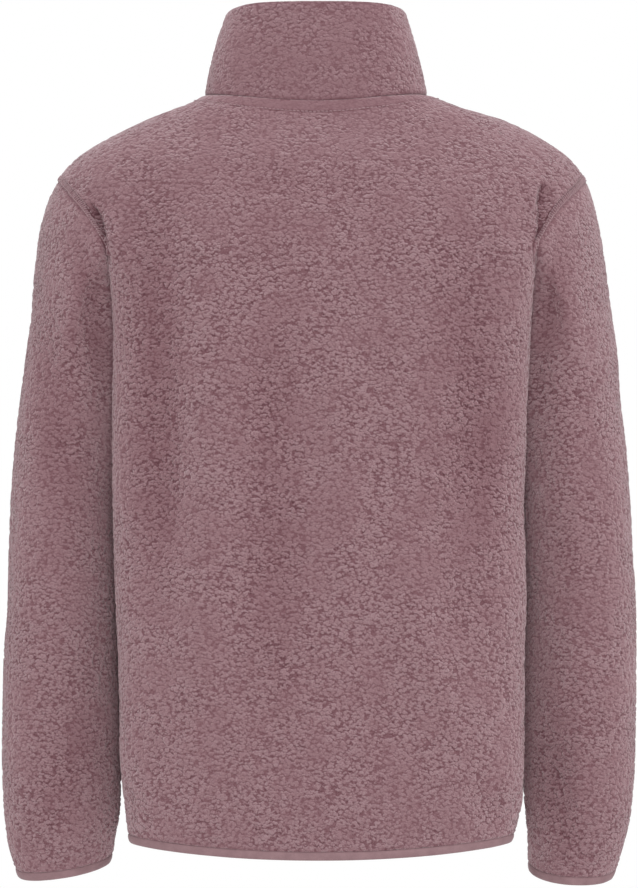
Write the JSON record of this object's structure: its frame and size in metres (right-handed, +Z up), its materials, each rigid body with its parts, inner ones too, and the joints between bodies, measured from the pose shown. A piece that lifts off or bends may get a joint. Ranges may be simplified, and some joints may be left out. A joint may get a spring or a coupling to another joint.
{
  "type": "fleece jacket",
  "caption": "Long-sleeved fleece jacket with a stand collar, a full-length front zip and bound hem and cuffs, in its worn hollow form.",
  "frame": {"origin": "middle of the neck opening at the height of the shoulder points, where the wearer carries the jacket", "axes": "+Z up, +Y out of the wearer's back, +X to the wearer's left"},
  "size_m": [0.5711, 0.2592, 0.7869],
  "materials": {
    "fleece": "curly pile fleece",
    "binding": "smooth jersey",
    "zip_tape": "woven",
    "zip_metal": "satin"
  },
  "bodies": {
    "jacket": {"back": "fleece", "front_left": "fleece", "front_right": "fleece", "sleeve_left": "fleece", "sleeve_right": "fleece", "collar": "fleece", "hem_binding": "binding", "cuff_binding_left": "binding", "cuff_binding_right": "binding", "zip_tape_left": "zip_tape", "zip_tape_right": "zip_tape", "zip_slider": "zip_metal", "zip_box": "zip_metal"},
    "pull": {"zip_pull": "zip_metal"}
  },
  "joints": [
    {"name": "pull_hinge", "type": "hinge", "parent": "jacket", "child": "pull", "pos_m": [0, -0.07582, 0.01044], "axis": [-1, 0, 0], "range_deg": [0, 170]}
  ]
}
